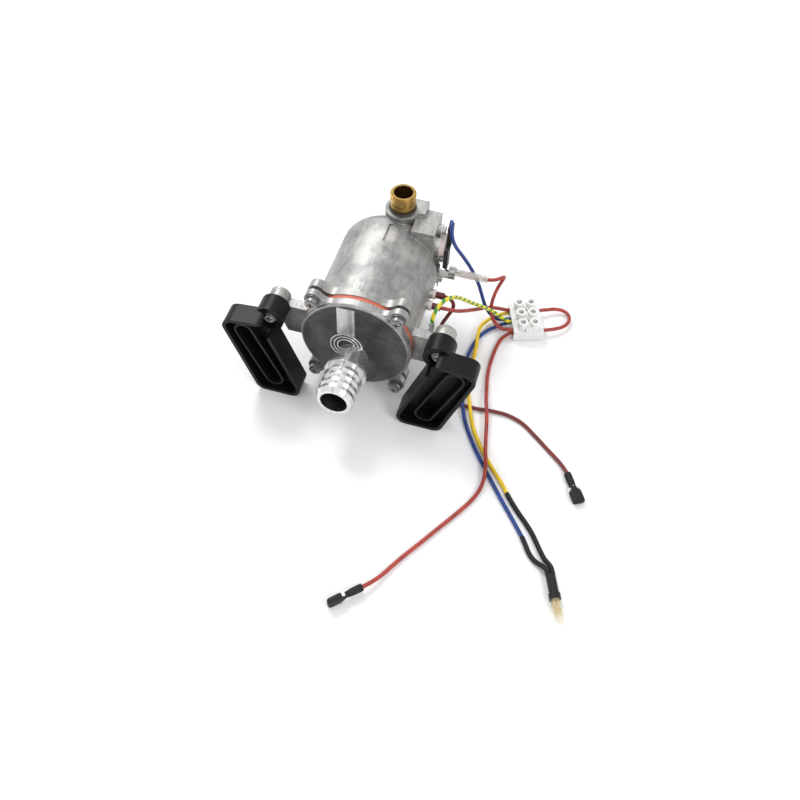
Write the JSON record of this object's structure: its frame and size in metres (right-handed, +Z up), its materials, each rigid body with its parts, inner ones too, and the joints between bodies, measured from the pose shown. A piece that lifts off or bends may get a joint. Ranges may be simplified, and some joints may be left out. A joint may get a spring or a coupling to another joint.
{
  "type": "steam generator",
  "caption": "Round cast steam boiler with bolted lid, barbed spigot, brass inlet, side brackets, snap thermostat, thermal fuse and wiring loom.",
  "frame": {"origin": "middle of the boiler's box, brackets and fittings but not leads, at the table", "axes": "+Y along the boiler's axis to its closed end, so the steam spigot points to -Y; +Z up, the way the water inlet points; +X towards the thermostat"},
  "size_m": [0.2339, 0.2556, 0.0923],
  "materials": {
    "cast_aluminium": "matt die-cast skin",
    "lid_aluminium": "grey blasted casting with bright machined edges",
    "gasket_rubber": "matt silicone",
    "zinc_steel": "zinc plated, satin",
    "bright_steel": "bright plated sheet",
    "black_plastic": "fine moulded texture",
    "boot_plastic": "moulded rubbery plastic",
    "ceramic": "glazed ceramic",
    "brass": "turned brass",
    "red_silicone": "braided or plain silicone insulation",
    "dark_red_silicone": "silicone insulation",
    "blue_insulation": "PVC insulation",
    "yellow_insulation": "PVC insulation",
    "earth_insulation": "green and yellow insulation",
    "clear_tube": "clear sleeving",
    "maroon_sleeve": "moulded sleeve",
    "block_plastic": "milky moulded nylon",
    "fuse_body": "enamelled case",
    "lamp_glass": "clear glass"
  },
  "bodies": {
    "boiler": {"boiler_pot": "cast_aluminium", "boiler_lid": "lid_aluminium", "lid_gasket": "gasket_rubber", "lid_screws": "zinc_steel", "lid_washers": "zinc_steel", "heating_element": "zinc_steel", "heater_bushes": "ceramic", "heater_pins": "zinc_steel", "heater_pin_sleeves": "maroon_sleeve", "inlet_nipple": "brass", "inlet_seal": "gasket_rubber", "left_bracket": "black_plastic", "right_bracket": "black_plastic", "bracket_bushes": "zinc_steel", "bracket_screws": "zinc_steel", "bracket_washers": "zinc_steel", "thermostat_cap": "bright_steel", "thermostat_body": "ceramic", "thermostat_guide": "ceramic", "thermostat_terminals": "bright_steel", "thermostat_strap": "bright_steel", "thermostat_screws": "zinc_steel", "upper_terminal_boot": "boot_plastic", "lower_terminal_boot": "boot_plastic", "fuse_holder": "zinc_steel", "fuse_holder_screw": "zinc_steel", "thermal_fuse": "fuse_body", "fuse_sleeve": "clear_tube", "earth_tag": "bright_steel", "earth_screw": "zinc_steel", "block_body": "block_plastic", "block_inserts": "brass", "block_screws": "zinc_steel", "thermostat_lead": "blue_insulation", "thermostat_link": "zinc_steel", "fuse_lead": "red_silicone", "heater_lead": "red_silicone", "earth_lead": "earth_insulation", "mains_lead": "red_silicone", "return_lead": "dark_red_silicone", "jumper_lead": "red_silicone", "neon_blue_lead": "blue_insulation", "neon_yellow_lead": "yellow_insulation", "mains_spade": "bright_steel", "mains_spade_sleeve": "black_plastic", "return_spade": "bright_steel", "return_spade_sleeve": "black_plastic", "neon_blue_sleeve": "black_plastic", "neon_yellow_sleeve": "black_plastic", "neon_end_sleeve": "black_plastic", "neon_glass": "lamp_glass", "neon_electrodes": "zinc_steel", "neon_resistor": "fuse_body", "resistor_sleeve": "clear_tube"},
    "disc": {"snap_disc": "brass"},
    "pin": {"push_pin": "ceramic"},
    "arm": {"contact_arm": "brass"}
  },
  "joints": [
    {"name": "disc_snap", "type": "slide", "parent": "boiler", "child": "disc", "axis": [1, 0, 0], "range_m": [0, 0.00035]},
    {"name": "pin_slide", "type": "slide", "parent": "boiler", "child": "pin", "axis": [1, 0, 0], "range_m": [0, 0.00035]},
    {"name": "arm_flex", "type": "slide", "parent": "boiler", "child": "arm", "axis": [1, 0, 0], "range_m": [0, 0.00035]}
  ],
  "couplings": [
    {"joint": "pin_slide", "follows": "disc_snap", "ratio": 1},
    {"joint": "arm_flex", "follows": "disc_snap", "ratio": 1}
  ]
}
